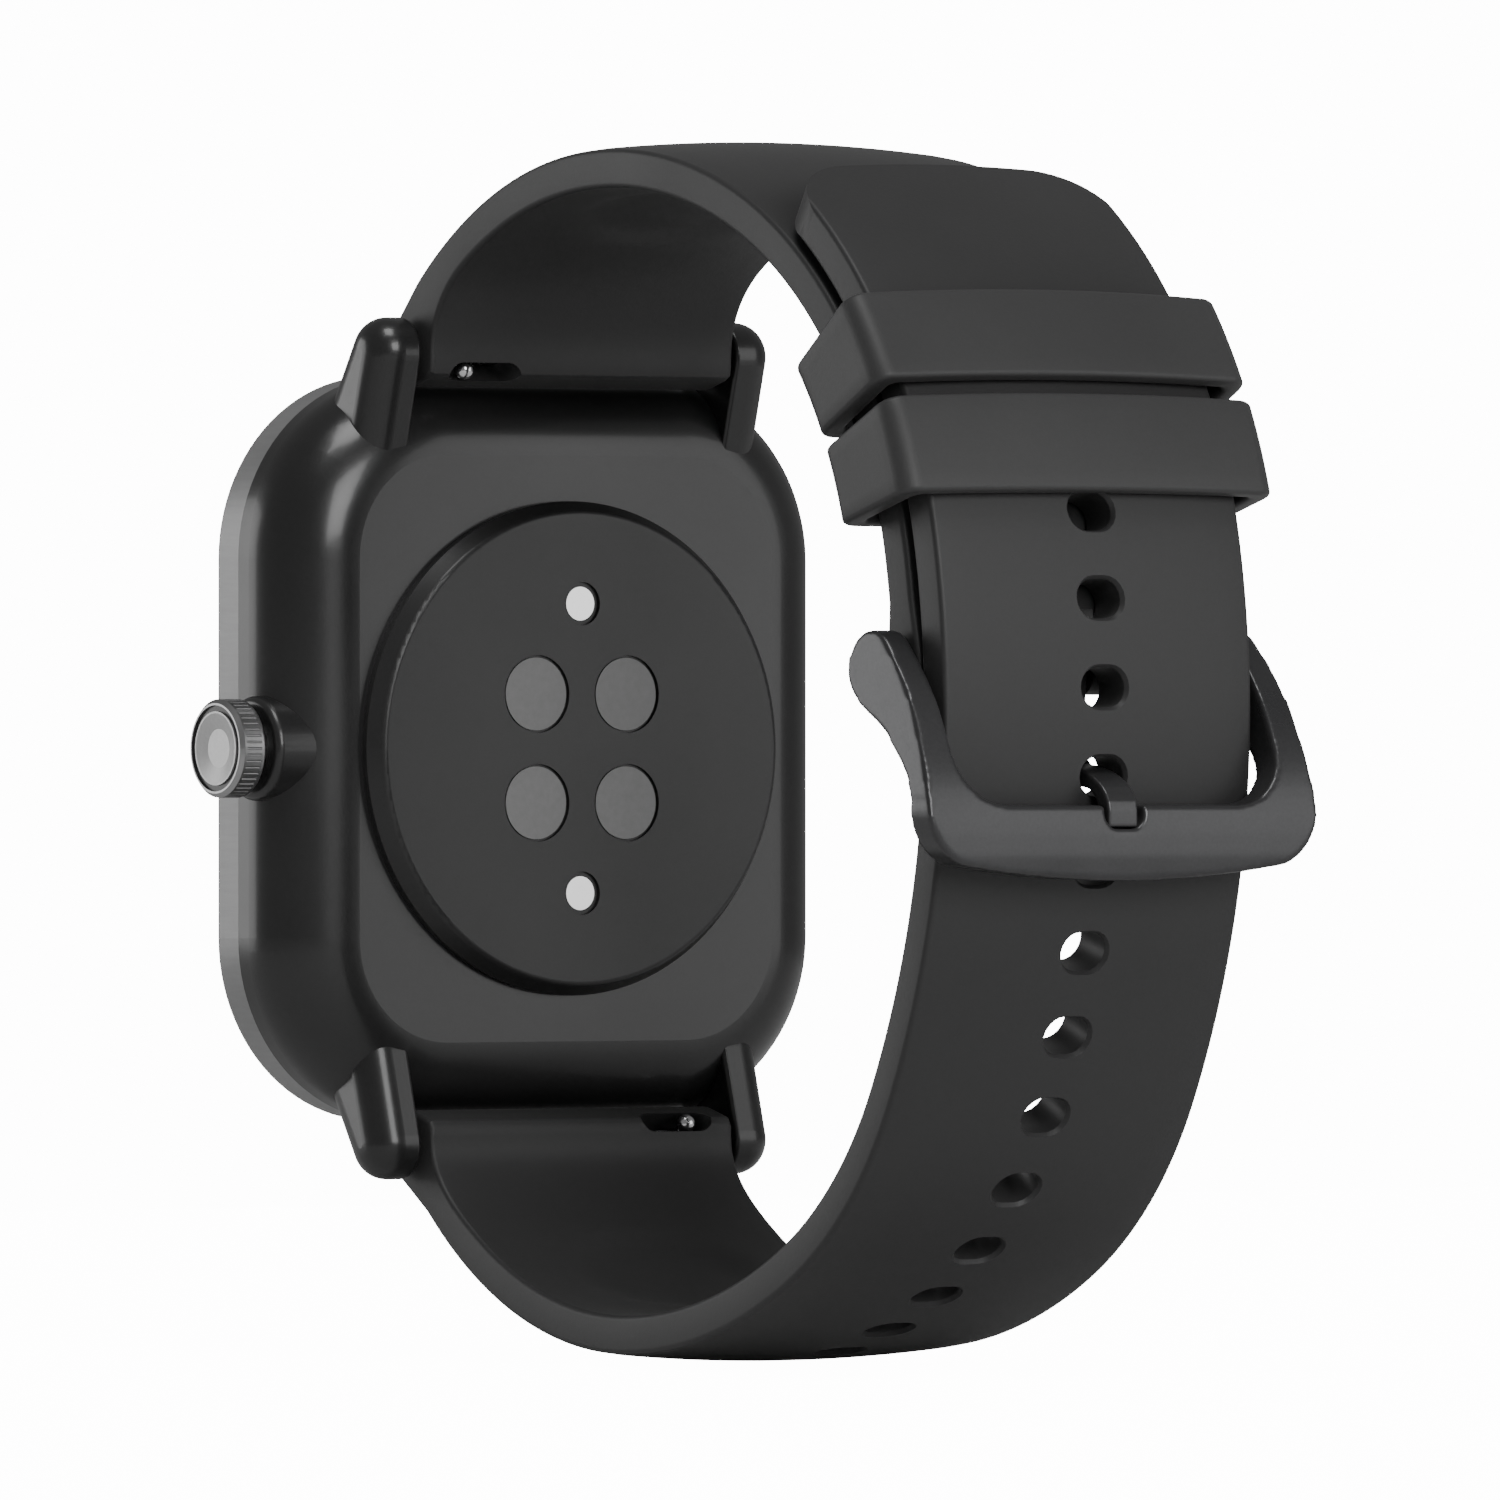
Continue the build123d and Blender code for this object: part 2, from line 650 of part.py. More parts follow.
def bar_tip(sign, knob_side):
    """Sliding tip of a spring bar with its knob."""
    p = knob_plane(sign, knob_side * KNOB_X)
    with BuildPart() as t:
        with BuildSketch(Plane.YZ.offset(knob_side * 6.4)):
            with Locations((BAR_Y, sign * BAR_Z)):
                Circle(0.48)
        extrude(amount=knob_side * 3.2)
        with BuildSketch(Plane.YZ.offset(knob_side * 9.6)):
            with Locations((BAR_Y, sign * BAR_Z)):
                Circle(0.4)
        extrude(amount=knob_side * 1.9)
        chamfer(t.faces().sort_by(Axis.X)[-1 if knob_side > 0 else 0].edges(), 0.12)
        with BuildSketch(p):
            Circle(0.26)
        extrude(amount=1.7)
        with Locations(p.from_local_coords((0, 0, 1.95))):
            Sphere(0.54)
    return t.part


def bar_spring(sign, knob_side):
    """Coil spring behind the sliding tip."""
    x0, x1 = (1.4, 6.3) if knob_side > 0 else (-6.3, -1.4)
    with BuildPart() as s:
        with BuildLine():
            coil = Helix(pitch=0.49, height=x1 - x0, radius=0.38,
                         center=(x0, BAR_Y, sign * BAR_Z), direction=(1, 0, 0))
        with BuildSketch(Plane(origin=coil @ 0, z_dir=coil % 0)):
            Circle(0.08)
        sweep(path=coil, is_frenet=True)
    return s.part


with BuildPart() as upper_bar_tube:
    add(bar_tube(1, 1))
with BuildPart() as lower_bar_tube:
    add(bar_tube(-1, -1))
with BuildPart() as upper_bar_tip:
    add(bar_tip(1, 1))
with BuildPart() as lower_bar_tip:
    add(bar_tip(-1, -1))
with BuildPart() as upper_bar_spring:
    add(bar_spring(1, 1))
with BuildPart() as lower_bar_spring:
    add(bar_spring(-1, -1))

# ======== buckle ========
with BuildPart() as buckle_frame:
    with BuildSketch(Plane.YZ.offset(-14)):
        with Locations((PIN_Y, PIN_Z)):
            Circle(LEG_R)
        with BuildLine():
            a = (PIN_Y + LEG_R * cos(radians(42)), PIN_Z + LEG_R * sin(radians(42)))
            b = (PIN_Y - LEG_R * cos(radians(48)), PIN_Z - LEG_R * sin(radians(48)))
            Spline(a, (48.4, 1.6), (50.2, -4.4), tangents=((0.67, -0.74), (0.03, -1)))
            Line((50.2, -4.4), (50.1, -7.2))
            Line((50.1, -7.2), (48.1, -7.2))
            Line((48.1, -7.2), (48.3, -2.7))
            Spline((48.3, -2.7), (46.0, 0.6), b, tangents=((-0.3, 1), (-0.74, 0.67)))
            Line(b, a)
        make_face()
    extrude(amount=28)
    with BuildSketch(Plane.XZ.offset(-38)):
        with BuildLine():
            Polyline((-11.9, 7), (-12.5, -2.4))
            ThreePointArc((-12.5, -2.4), (-11.3, -5.2), (-8.6, -6.3))
            ThreePointArc((-8.6, -6.3), (0, -6.9), (8.6, -6.3))
            ThreePointArc((8.6, -6.3), (11.3, -5.2), (12.5, -2.4))
            Polyline((12.5, -2.4), (11.9, 7), (10.4, 7), (10.4, 0))
            ThreePointArc((10.4, 0), (9.6, -2.1), (7.5, -2.95))
            Line((7.5, -2.95), (-7.5, -2.95))
            ThreePointArc((-7.5, -2.95), (-9.6, -2.1), (-10.4, 0))
            Polyline((-10.4, 0), (-10.4, 7), (-11.9, 7))
        make_face()
    extrude(amount=-16, mode=Mode.INTERSECT)
    # notch for the tang's tip
    with BuildSketch(Plane.XZ.offset(-38)):
        with Locations((0, -2.9)):
            RectangleRounded(2.5, 2.6, 0.5)
    extrude(amount=-16, mode=Mode.SUBTRACT)
    with BuildSketch(Plane.YZ.offset(-11.45)):
        with Locations((PIN_Y, PIN_Z)):
            Circle(0.77)
    extrude(amount=22.9, mode=Mode.SUBTRACT)

with BuildPart() as buckle_pin:
    with BuildSketch(Plane.YZ.offset(-11.4)):
        with Locations((PIN_Y, PIN_Z)):
            Circle(0.74)
    extrude(amount=22.8)

with BuildPart() as buckle_tang:
    with BuildSketch(Plane.YZ.offset(-0.95)):
        with Locations((PIN_Y, PIN_Z)):
            Circle(1.45)
        with BuildLine():
            Polyline((45.3, 3.6), (45.15, 1.2), (45.35, -0.6), (48.3, -1.1), (49.4, -1.8),
                     (49.95, -3.0), (49.95, -4.15), (48.9, -4.15), (48.85, -3.2),
                     (48.2, -2.25), (44.7, -1.75), (44.0, 0.6), (43.2, 3.2), close=True)
        make_face()
        with Locations((PIN_Y, PIN_Z)):
            Circle(0.78, mode=Mode.SUBTRACT)
    extrude(amount=1.9)

NODES = dict(
    case_body=case_body, front_gasket=front_gasket, front_bezel=front_bezel,
    cover_glass=cover_glass, display_adhesive=display_adhesive, display_panel=display_panel,
    display_flex=display_flex, inner_frame=inner_frame, frame_screws=frame_screws,
    battery=battery, battery_flex=battery_flex, main_pcb=main_pcb, pcb_chips=pcb_chips,
    shield_can=shield_can, vibration_motor_can=vibration_motor_can,
    vibration_rotor=vibration_rotor, sensor_cover=sensor_cover, sensor_glue=sensor_glue,
    sensor_windows=sensor_windows, charging_contacts=charging_contacts,
    charging_magnets=charging_magnets, optical_barrier=optical_barrier,
    optical_chips=optical_chips, sensor_pcb=sensor_pcb, crown_head=crown_head,
    crown_inlay=crown_inlay, crown_ring=crown_ring, crown_stem=crown_stem,
    crown_snap_ring=crown_snap_ring, crown_seal=crown_seal, crown_tube=crown_tube,
    crown_switch=crown_switch, switch_plunger=switch_plunger, long_strap=long_strap,
    short_strap=short_strap, lower_keeper=lower_keeper, upper_keeper=upper_keeper,
    upper_bar_tube=upper_bar_tube, lower_bar_tube=lower_bar_tube,
    upper_bar_tip=upper_bar_tip, lower_bar_tip=lower_bar_tip,
    upper_bar_spring=upper_bar_spring, lower_bar_spring=lower_bar_spring,
    buckle_frame=buckle_frame, buckle_pin=buckle_pin, buckle_tang=buckle_tang)

for name, builder in NODES.items():
    builder.part.label = name
    export_step(builder.part, "parts/" + name + ".step")
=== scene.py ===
import bpy, bmesh, json, math
from math import sin, cos, radians, pi
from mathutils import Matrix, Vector


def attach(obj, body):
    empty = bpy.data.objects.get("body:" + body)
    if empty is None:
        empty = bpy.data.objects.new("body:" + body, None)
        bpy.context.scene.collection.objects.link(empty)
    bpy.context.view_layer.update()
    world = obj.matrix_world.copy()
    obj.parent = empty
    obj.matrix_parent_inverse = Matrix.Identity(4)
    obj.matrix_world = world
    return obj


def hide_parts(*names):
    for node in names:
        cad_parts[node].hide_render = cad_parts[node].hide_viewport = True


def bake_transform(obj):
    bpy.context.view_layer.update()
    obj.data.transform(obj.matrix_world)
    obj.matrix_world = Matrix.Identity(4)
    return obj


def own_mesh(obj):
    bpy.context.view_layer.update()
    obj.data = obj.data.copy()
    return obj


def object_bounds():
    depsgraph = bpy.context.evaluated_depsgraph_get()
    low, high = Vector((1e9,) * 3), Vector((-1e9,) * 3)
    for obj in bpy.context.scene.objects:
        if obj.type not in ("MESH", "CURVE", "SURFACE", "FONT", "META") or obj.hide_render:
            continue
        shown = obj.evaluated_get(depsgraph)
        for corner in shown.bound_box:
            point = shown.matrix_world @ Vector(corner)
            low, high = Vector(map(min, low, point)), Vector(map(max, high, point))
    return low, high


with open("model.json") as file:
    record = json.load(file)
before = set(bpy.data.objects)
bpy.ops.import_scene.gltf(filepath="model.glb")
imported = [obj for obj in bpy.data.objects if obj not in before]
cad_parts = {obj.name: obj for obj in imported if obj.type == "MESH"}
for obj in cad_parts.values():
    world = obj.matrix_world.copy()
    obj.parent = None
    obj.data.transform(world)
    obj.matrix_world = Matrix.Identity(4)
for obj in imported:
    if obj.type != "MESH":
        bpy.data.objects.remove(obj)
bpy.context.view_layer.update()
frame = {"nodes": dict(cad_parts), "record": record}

MM = 0.001

# ---------------------------------------------------------------- strap line, as in the CAD
BAR = (-2.3, 21.5)
PIN = (44.0, 4.2)
LOW = (17.7, -30.15)
LEFT_R = 24.5
ARCS = ((30.8, 29.25), (20.35, 33.0), (42.7, 39.45), (27.1, 55.1), (31.2, 32.8), (26.6, 33.5))
HALF_W, EDGE, MID = 9.9, 2.1, 2.6
INNER = -2.7
TAIL_H = 150.0
HOLE_S, HOLE_PITCH, HOLES = 48.77, 4.68, 14    # HOLE_S is the tang's hole, along the outer face
HOLE_L, HOLE_H = 2.8, 2.1
TANG_HOLE = 3                                  # its number, from 0 at the tail
NOSE_R, LEG_R = 1.93, 1.95
KNOB_A = 32.0                                  # lean of the quick-release knobs
SLOT_X, SLOT_L, SLOT_H = 6.3, 4.2, 1.2


def line_at(off, heading):
    """(y, z) on the strap line, offset outwards, where it has this heading."""
    if heading < 0:
        c, r = (LOW[0], LOW[1] + LEFT_R), LEFT_R
    else:
        p, h = LOW, 0.0
        for r, a in ARCS:
            c = (p[0] - r * sin(radians(h)), p[1] + r * cos(radians(h)))
            h += a
            p = (c[0] + r * sin(radians(h)), c[1] - r * cos(radians(h)))
            if heading <= h + 1e-9:
                break
    return (c[0] + (r + off) * sin(radians(heading)), c[1] - (r + off) * cos(radians(heading)))


def heading_after(length, off):
    """Heading on the strap line after this length, measured on the line offset outwards."""
    h = 0.0
    for r, a in ARCS:
        full = (r + off) * radians(a)
        if length <= full:
            return h + a * length / full
        length, h = length - full, h + a
    return h


# ---------------------------------------------------------------- materials
def rgb(v, k=1.0):
    """Colour times k, with an alpha of 1."""
    return (v[0] * k, v[1] * k, v[2] * k, 1)


def make_mat(name, base, rough, metal=0.0, spec=0.5, grain=3000.0, bump=0.1, vary=0.12, rvary=0.08,
             scratch=0.0, coat=0.0, streak=None, sheen=0.0):
    """Procedural material: slow colour variation, fine grain, uneven roughness, scratches and bump."""
    m = bpy.data.materials.new(name)
    m.use_nodes = True
    nt = m.node_tree
    n, l = nt.nodes, nt.links
    bsdf = n["Principled BSDF"]
    bsdf.inputs["Metallic"].default_value = metal
    bsdf.inputs["Specular IOR Level"].default_value = spec
    bsdf.inputs["Coat Weight"].default_value = coat
    bsdf.inputs["Coat Roughness"].default_value = 0.12
    bsdf.inputs["Sheen Weight"].default_value = sheen
    tc = n.new("ShaderNodeTexCoord")
    mp = n.new("ShaderNodeMapping")
    if streak:
        mp.inputs["Scale"].default_value = streak
    l.new(tc.outputs["Object"], mp.inputs["Vector"])
    fine = n.new("ShaderNodeTexNoise")
    fine.inputs["Scale"].default_value = grain
    fine.inputs["Detail"].default_value = 6
    fine.inputs["Roughness"].default_value = 0.62
    l.new(mp.outputs["Vector"], fine.inputs["Vector"])
    cloud = n.new("ShaderNodeTexNoise")
    cloud.inputs["Scale"].default_value = 90
    cloud.inputs["Detail"].default_value = 3
    l.new(tc.outputs["Object"], cloud.inputs["Vector"])
    # colour: slow variation, then fine grain
    r1 = n.new("ShaderNodeValToRGB")
    r1.color_ramp.elements[0].position, r1.color_ramp.elements[1].position = 0.3, 0.72
    r1.color_ramp.elements[0].color = rgb(base, 1 - vary)
    r1.color_ramp.elements[1].color = rgb(base, 1 + vary)
    l.new(cloud.outputs["Fac"], r1.inputs["Fac"])
    r2 = n.new("ShaderNodeValToRGB")
    r2.color_ramp.elements[0].position, r2.color_ramp.elements[1].position = 0.25, 0.8
    g = min(0.5, vary * 1.2)
    r2.color_ramp.elements[0].color = (1 - g, 1 - g, 1 - g, 1)
    r2.color_ramp.elements[1].color = (1, 1, 1, 1)
    l.new(fine.outputs["Fac"], r2.inputs["Fac"])
    mul = n.new("ShaderNodeMix")
    mul.data_type, mul.blend_type = "RGBA", "MULTIPLY"
    mul.inputs["Factor"].default_value = 1.0
    l.new(r1.outputs["Color"], mul.inputs["A"])
    l.new(r2.outputs["Color"], mul.inputs["B"])
    l.new(mul.outputs["Result"], bsdf.inputs["Base Color"])
    # roughness varies with the clouds and the grain
    mr = n.new("ShaderNodeMapRange")
    mr.inputs["To Min"].default_value = max(0.02, rough - rvary)
    mr.inputs["To Max"].default_value = min(1.0, rough + rvary)
    l.new(cloud.outputs["Fac"], mr.inputs["Value"])
    last = mr.outputs["Result"]
    if scratch:
        vor = n.new("ShaderNodeTexNoise")
        vor.inputs["Scale"].default_value = 700
        vor.inputs["Detail"].default_value = 8
        vor.inputs["Distortion"].default_value = 2.5
        l.new(tc.outputs["Object"], vor.inputs["Vector"])
        rs = n.new("ShaderNodeValToRGB")
        rs.color_ramp.elements[0].position, rs.color_ramp.elements[1].position = 0.485, 0.5
        rs.color_ramp.elements[0].color, rs.color_ramp.elements[1].color = (0, 0, 0, 1), (1, 1, 1, 1)
        e = rs.color_ramp.elements.new(0.515)
        e.color = (0, 0, 0, 1)
        l.new(vor.outputs["Fac"], rs.inputs["Fac"])
        ma = n.new("ShaderNodeMath")
        ma.operation = "MULTIPLY_ADD"
        ma.inputs[1].default_value = scratch
        l.new(rs.outputs["Color"], ma.inputs[0])
        l.new(last, ma.inputs[2])
        last = ma.outputs["Value"]
    l.new(last, bsdf.inputs["Roughness"])
    bp = n.new("ShaderNodeBump")
    bp.inputs["Strength"].default_value = bump
    bp.inputs["Distance"].default_value = 0.00004
    l.new(fine.outputs["Fac"], bp.inputs["Height"])
    l.new(bp.outputs["Normal"], bsdf.inputs["Normal"])
    return m


MATS = {
    "case_black": make_mat("case_black", (0.018, 0.018, 0.0182), 0.3, grain=5000, bump=0.05, coat=0.25,
                           scratch=0.05),
    "bezel_grey": make_mat("bezel_grey", (0.31, 0.31, 0.312), 0.38, metal=0.35, grain=4000, bump=0.06,
                           streak=(1, 0.1, 1)),
    "glass": make_mat("glass", (0.012, 0.012, 0.013), 0.06, spec=0.6, grain=1500, bump=0.01, vary=0.05,
                      rvary=0.02, coat=0.6),
    "display_black": make_mat("display_black", (0.008, 0.008, 0.009), 0.15, grain=2500, bump=0.02),
    "adhesive": make_mat("adhesive", (0.05, 0.05, 0.05), 0.7),
    "flex_film": make_mat("flex_film", (0.3, 0.13, 0.03), 0.4, grain=1200),
    "frame_steel": make_mat("frame_steel", (0.5, 0.5, 0.51), 0.35, metal=1, streak=(1, 1, 0.05)),
    "screw_steel": make_mat("screw_steel", (0.55, 0.55, 0.56), 0.3, metal=1),
    "battery_foil": make_mat("battery_foil", (0.5, 0.5, 0.52), 0.4, metal=0.8, grain=900, bump=0.2),
    "board_green": make_mat("board_green", (0.01, 0.09, 0.03), 0.4, grain=1800, coat=0.3),
    "chip_black": make_mat("chip_black", (0.025, 0.025, 0.025), 0.6),
    "can_steel": make_mat("can_steel", (0.58, 0.58, 0.58), 0.33, metal=1, streak=(0.1, 1, 1)),
    "rotor_steel": make_mat("rotor_steel", (0.25, 0.25, 0.26), 0.5, metal=1),
    "gasket_black": make_mat("gasket_black", (0.02, 0.02, 0.02), 0.75),
    "sensor_cover_black": make_mat("sensor_cover_black", (0.026, 0.026, 0.0262), 0.36, grain=7000, bump=0.05,
                                   scratch=0.04),
    "sensor_window_grey": make_mat("sensor_window_grey", (0.21, 0.21, 0.21), 0.3, grain=2500, bump=0.02,
                                   coat=0.2),
    "contact_white": make_mat("contact_white", (1.0, 1.0, 1.0), 0.3, metal=1, grain=2500, bump=0.02,
                              vary=0.02),
    "magnet_nickel": make_mat("magnet_nickel", (0.6, 0.6, 0.6), 0.25, metal=1),
    "crown_steel": make_mat("crown_steel", (0.42, 0.42, 0.423), 0.33, metal=1, grain=6000, bump=0.12,
                            streak=(1, 0.25, 0.25)),
    "crown_dish": make_mat("crown_dish", (0.6, 0.6, 0.6), 0.42, metal=0.7, grain=5000, bump=0.05),
    "crown_ring_black": make_mat("crown_ring_black", (0.02, 0.02, 0.02), 0.3),
    "stem_steel": make_mat("stem_steel", (0.45, 0.45, 0.45), 0.3, metal=1),
    "strap_rubber": make_mat("strap_rubber", (0.027, 0.027, 0.0273), 0.5, spec=0.45, grain=5200, bump=0.16,
                             vary=0.07, rvary=0.06, sheen=0.05),
    "keeper_rubber": make_mat("keeper_rubber", (0.038, 0.038, 0.0383), 0.5, spec=0.45, grain=5200, bump=0.16,
                              vary=0.07, rvary=0.06, sheen=0.05),
    "bar_steel": make_mat("bar_steel", (0.75, 0.75, 0.76), 0.16, metal=1, grain=2500, bump=0.03, vary=0.06),
    "spring_steel": make_mat("spring_steel", (0.5, 0.5, 0.5), 0.3, metal=1),
    "buckle_gunmetal": make_mat("buckle_gunmetal", (0.07, 0.07, 0.072), 0.3, metal=0.6, grain=5000, bump=0.07,
                                scratch=0.06),
    "tang_gunmetal": make_mat("tang_gunmetal", (0.07, 0.07, 0.072), 0.3, metal=0.6, grain=5000, bump=0.07,
                              scratch=0.05),
}

for name, obj in frame["nodes"].items():
    slot = next(s["material_slot"] for s in frame["record"]["subparts"] if s["node"] == name)
    obj.data.materials.clear()
    obj.data.materials.append(MATS[slot])


# ---------------------------------------------------------------- mesh helpers
def new_obj(name, verts, faces, mat, smooth=35):
    """Mesh object from points in millimetres, with its material."""
    me = bpy.data.meshes.new(name)
    me.from_pydata([tuple(c * MM for c in v) for v in verts], [], faces)
    me.update()
    bm = bmesh.new()
    bm.from_mesh(me)
    bmesh.ops.remove_doubles(bm, verts=bm.verts, dist=1e-7)
    bmesh.ops.recalc_face_normals(bm, faces=bm.faces)
    bm.to_mesh(me)
    bm.free()
    o = bpy.data.objects.new(name, me)
    bpy.context.collection.objects.link(o)
    me.materials.append(mat)
    shade(o, smooth)
    return o


def shade(o, angle):
    """Smooth shading, with edges sharper than this angle kept sharp."""
    me = o.data
    bm = bmesh.new()
    bm.from_mesh(me)
    for f in bm.faces:
        f.smooth = True
    for e in bm.edges:
        e.smooth = not (len(e.link_faces) == 2 and e.calc_face_angle(0) > radians(angle))
    bm.to_mesh(me)
    bm.free()


def grid_tube(rings, caps=True):
    """Faces over a list of rings of points."""
    k = len(rings[0])
    verts = [v for r in rings for v in r]
    faces = []
    for i in range(len(rings) - 1):
        for j in range(k):
            a, b = i * k + j, i * k + (j + 1) % k
            faces.append((a, b, b + k, a + k))
    if caps:
        faces.append(tuple(range(k))[::-1])
        faces.append(tuple((len(rings) - 1) * k + j for j in range(k)))
    return verts, faces


def section(half, edge, mid, r=0.32, dome_n=26, flat_n=16, dip=None):
    """Strap section (x, out): flat inside, domed outside, soft edges, counter-clockwise."""
    pts = []
    for i in range(flat_n + 1):
        x = -half + r + (2 * half - 2 * r) * i / flat_n
        pts.append((x, dip(x) if dip else 0.0))
    for i in range(1, 7):
        a = -pi / 2 + pi / 2 * i / 6
        pts.append((half - r + r * cos(a), r + r * sin(a)))
    for i in range(0, 7):
        a = pi / 2 * i / 6
        pts.append((half - r + r * cos(a), edge - r + r * sin(a)))
    for i in range(1, dome_n):
        x = half - r - (2 * half - 2 * r) * i / dome_n
        pts.append((x, edge + (mid - edge) * (1 - (x / half) ** 2)))
    for i in range(0, 7):
        a = pi / 2 + pi / 2 * i / 6
        pts.append((-half + r + r * cos(a), edge - r + r * sin(a)))
    for i in range(0, 6):
        a = pi + pi / 2 * i / 6
        pts.append((-half + r + r * cos(a), r + r * sin(a)))
    return pts


def cutter(name, ring_list):
    """Closed tube through these rings, to cut with."""
    v, f = grid_tube(ring_list)
    me = bpy.data.meshes.new(name)
    me.from_pydata([tuple(c * MM for c in p) for p in v], [], f)
    bm = bmesh.new()
    bm.from_mesh(me)
    bmesh.ops.recalc_face_normals(bm, faces=bm.faces)
    bm.to_mesh(me)
    bm.free()
    o = bpy.data.objects.new(name, me)
    bpy.context.collection.objects.link(o)
    return o


def boolean(o, cutters, op="DIFFERENCE"):
    """Applies each cutter to the object and removes it."""
    for c in cutters:
        m = o.modifiers.new("cut", "BOOLEAN")
        m.operation, m.solver, m.object = op, "EXACT", c
        dg = bpy.context.evaluated_depsgraph_get()
        me = bpy.data.meshes.new_from_object(o.evaluated_get(dg))
        o.modifiers.clear()
        old = o.data
        o.data = me
        bpy.data.meshes.remove(old)
    for c in cutters:
        bpy.data.objects.remove(c)


def stadium(length, height, n=10):
    """Outline of a slot with round ends."""
    r = height / 2
    d = length / 2 - r
    pts = []
    for i in range(n + 1):
        a = -pi / 2 + pi * i / n
        pts.append((d + r * cos(a), r * sin(a)))
    for i in range(n + 1):
        a = pi / 2 + pi * i / n
        pts.append((-d + r * cos(a), r * sin(a)))
    return pts


def local_point(base, heading, x, along, out):
    """Point beside a strap station, along the strap and outwards from it."""
    h = radians(heading)
    return (x, base[0] + along * cos(h) + out * sin(h), base[1] + along * sin(h) - out * cos(h))


def resample(pts, n):
    """n+1 points spread evenly along a line of (y, z) points."""
    d = [0.0]
    for a, b in zip(pts, pts[1:]):
        d.append(d[-1] + math.dist(a, b))
    out, k = [], 0
    for i in range(n + 1):
        t = d[-1] * i / n
        while k < len(pts) - 2 and d[k + 1] < t:
            k += 1
        f = (t - d[k]) / max(1e-9, d[k + 1] - d[k])
        out.append(tuple(a + (b - a) * f for a, b in zip(pts[k], pts[k + 1])))
    return out


def bezier(p0, p1, p2, p3, n):
    """Points on a cubic Bezier curve."""
    return [tuple((1 - t) ** 3 * a + 3 * (1 - t) ** 2 * t * b + 3 * (1 - t) * t * t * c + t ** 3 * d
                  for a, b, c, d in zip(p0, p1, p2, p3)) for t in [i / n for i in range(n + 1)]]


def circle_run(c, r, a0, a1, n):
    """Points on a circle between two angles in degrees."""
    angles = [radians(a0 + (a1 - a0) * i / n) for i in range(n + 1)]
    return [(c[0] + r * cos(a), c[1] + r * sin(a)) for a in angles]


def stations(inner, outer, n, fade):
    """Pairs of inner and outer points, with a dome that dies away at this rate."""
    pairs = zip(resample(inner, n), resample(outer, n))
    return [(p, q, (MID - EDGE) * max(0, 1 - fade * i / n)) for i, (p, q) in enumerate(pairs)][:-1]


def lug_end(sign, off, join, last, n=26):
    """Stations (inner, outer, dome) from the band to the nose round the spring bar."""
    p0 = line_at(off, join)
    t = (cos(radians(join)), sin(radians(join)))
    if sign < 0:
        t = (-t[0], -t[1])
    reach = (p0[0] + 2.3 * t[0], p0[1] + 2.3 * t[1])
    inner = bezier(p0, reach, (0.08, sign * 23.3), (0.08, sign * 21.2), 14)
    inner += [(0.08, sign * 20.55)]
    inner += [(y, sign * z) for y, z in circle_run((-0.37, 20.5), 0.45, 0, -80, 5)]
    inner += [(y, sign * z) for y, z in circle_run(BAR, NOSE_R, -78, -150, 8)]
    steps = 8
    outer = [line_at(off + EDGE, join + (last - join) * i / steps) for i in range(steps + 1)]
    outer += [(y, sign * z) for y, z in circle_run(BAR, NOSE_R, 132, 209, 8)]
    return stations(inner, outer, n, 1.2)


def pin_end(off, join, n=12):
    """Stations from the short band to the underside of its loop round the buckle pin."""
    inner = [line_at(off, join)] + circle_run(PIN, 1.5, 180, 268, 8)
    outer = [line_at(off + EDGE, join)] + circle_run(PIN, 1.5, 10, -88, 8)
    return stations(inner, outer, n, 1.5)


def ring_between(p, q, dome, dip=None):
    """Strap section from inner point p to outer point q."""
    t = math.dist(p, q)
    d = ((q[0] - p[0]) / t, (q[1] - p[1]) / t)
    sec = section(HALF_W, t, t + dome, r=min(0.3, t * 0.42), dip=dip)
    return [(x, p[0] + out * d[0], p[1] + out * d[1]) for x, out in sec]


def band_stations(off, h0, h1, step=0.9):
    """Inner point, outer point, dome and heading at even steps along the strap."""
    n = max(2, int(round(abs(h1 - h0) / step)))
    hs = [h0 + (h1 - h0) * i / n for i in range(n + 1)]
    return [(line_at(off, h), line_at(off + EDGE, h), MID - EDGE, h) for h in hs]


def dish(h, centre, reach, depth=0.28, wide=6.6):
    """Shallow oval hollow in the strap's inner face."""
    def f(x):
        u = 1 - (x / wide) ** 2 - ((h - centre) / reach) ** 2
        return depth * min(1.0, 2.2 * u) if u > 0 else 0.0
    return f


def hole_cutter(i):
    """Adjustment hole with softened rims."""
    h = heading_after(HOLE_S + HOLE_PITCH * (TANG_HOLE - i), MID)
    b = line_at(0, h)
    prof = [(-1.0, 0.35), (0.0, 0.10), (0.22, 0.0), (MID - 0.25, 0.0), (MID - 0.03, 0.15), (MID + 0.6, 0.7)]
    rings = [[local_point(b, h, x, y, out) for x, y in stadium(HOLE_L + 2 * g, HOLE_H + 2 * g)]
             for out, g in prof]
    return cutter("hole", rings)


def knob_dir(sign):
    """(y, z) direction in which a quick-release knob stands out of its bar."""
    return (cos(radians(KNOB_A)), -sign * sin(radians(KNOB_A)))


def slot_cutter(sign, x):
    """Finger slot over a quick-release knob, with a flared mouth."""
    d = knob_dir(sign)
    e = (-d[1], d[0])
    rings = []
    for out, g in ((0.0, 0.0), (2.0, 0.0), (2.35, 0.12), (3.2, 0.5)):
        rings.append([(x + px, BAR[0] + d[0] * out + e[0] * py, sign * BAR[1] + d[1] * out + e[1] * py)
                      for px, py in stadium(SLOT_L + 2 * g, SLOT_H + 2 * g)])
    return cutter("slot", rings)


